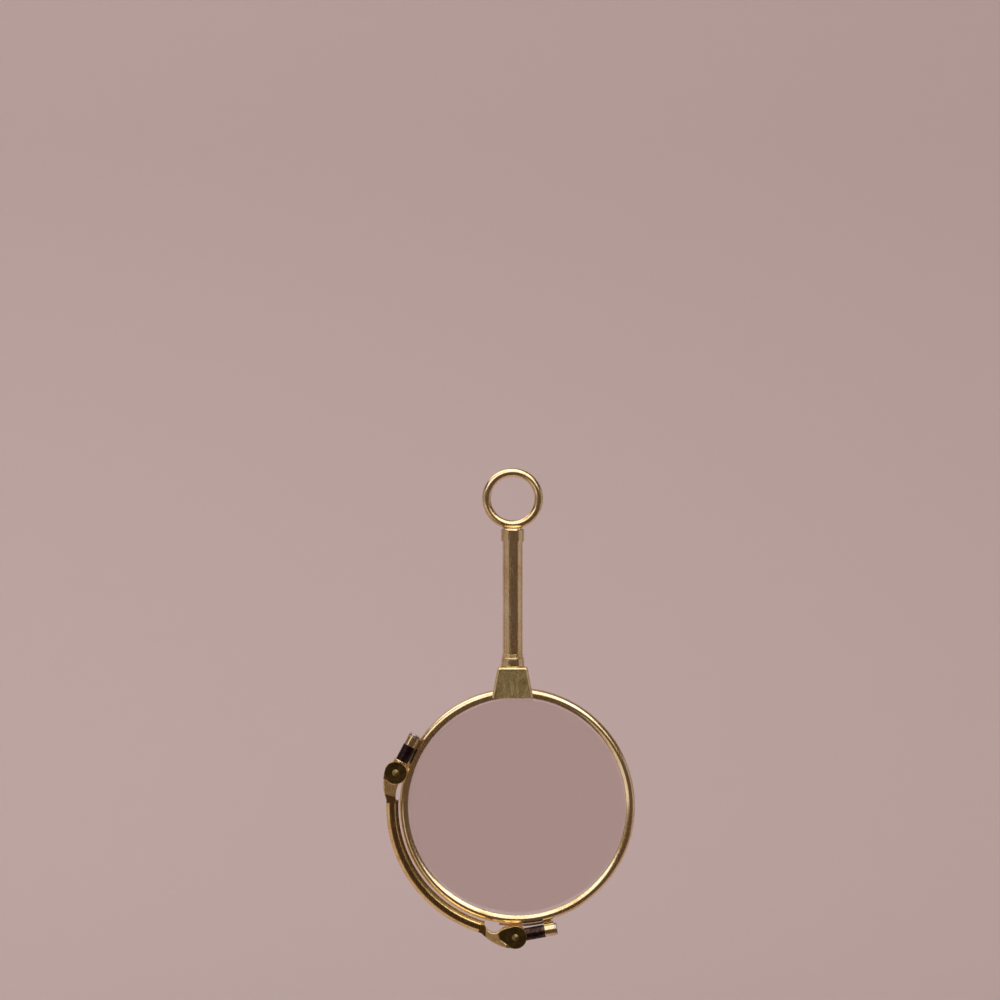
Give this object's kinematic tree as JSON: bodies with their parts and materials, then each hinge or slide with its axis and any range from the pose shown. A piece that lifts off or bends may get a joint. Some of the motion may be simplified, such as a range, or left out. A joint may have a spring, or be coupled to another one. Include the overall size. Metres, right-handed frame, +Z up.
{
  "type": "folding lorgnette",
  "caption": "Folding lorgnette: two round lenses that lie one behind the other under a short ringed tube handle and spring out on an arched bridge with barrel hinges.",
  "frame": {"origin": "centre of the suspension ring at the top of the handle", "axes": "+Z up along the handle from the lenses to the ring, +X to the right as seen from the front, +Y away from the viewer"},
  "size_m": [0.0386, 0.0056, 0.0736],
  "materials": {
    "gold": "polished gold, lightly worn",
    "gold_dull": "scratched, tarnished gold",
    "steel": "turned steel",
    "spring_steel": "drawn spring wire",
    "blued_steel": "blued and darkened steel",
    "bronze": "dark tarnished bronze",
    "lens_glass": "ground and polished clear glass"
  },
  "bodies": {
    "hanging_end": {"suspension_ring": "gold", "push_cap": "gold", "push_rod": "steel", "stop_collar": "steel", "catch_head": "steel", "return_spring": "spring_steel"},
    "handle": {"handle_tube": "gold", "guide_bush": "gold_dull", "tube_flange": "gold", "collar_bead": "gold", "block_housing": "gold", "block_panel": "gold_dull", "front_rim": "gold", "front_lens": "lens_glass", "upper_knuckle": "gold", "upper_end_cap": "steel"},
    "bridge": {"bridge_bar": "gold", "upper_pin": "steel", "upper_sleeve": "blued_steel", "upper_torsion_spring": "spring_steel", "upper_disc": "bronze", "upper_rivet": "gold_dull", "lower_pin": "steel", "lower_sleeve": "blued_steel", "lower_torsion_spring": "spring_steel", "lower_disc": "bronze", "lower_rivet": "gold_dull"},
    "rear_lens_frame": {"rear_rim": "gold", "rear_lens": "lens_glass", "lower_knuckle": "gold", "lower_end_cap": "steel", "catch_lug": "gold_dull"}
  },
  "joints": [
    {"name": "push_release", "type": "slide", "parent": "hanging_end", "child": "handle", "axis": [0, 0, 1], "range_m": [0, 0.0008], "stiffness_N_per_m": 120, "deforming": ["return_spring"]},
    {"name": "bridge_hinge", "type": "hinge", "parent": "handle", "child": "bridge", "pos_m": [-0.01611, -0.0025, -0.03849], "axis": [0.4617, 0, 0.887], "range_deg": [0, 180]},
    {"name": "lens_hinge", "type": "hinge", "parent": "bridge", "child": "rear_lens_frame", "pos_m": [0.00425, -0.0016, -0.06641], "axis": [-0.9833, 0, -0.1822], "range_deg": [0, 180]}
  ]
}
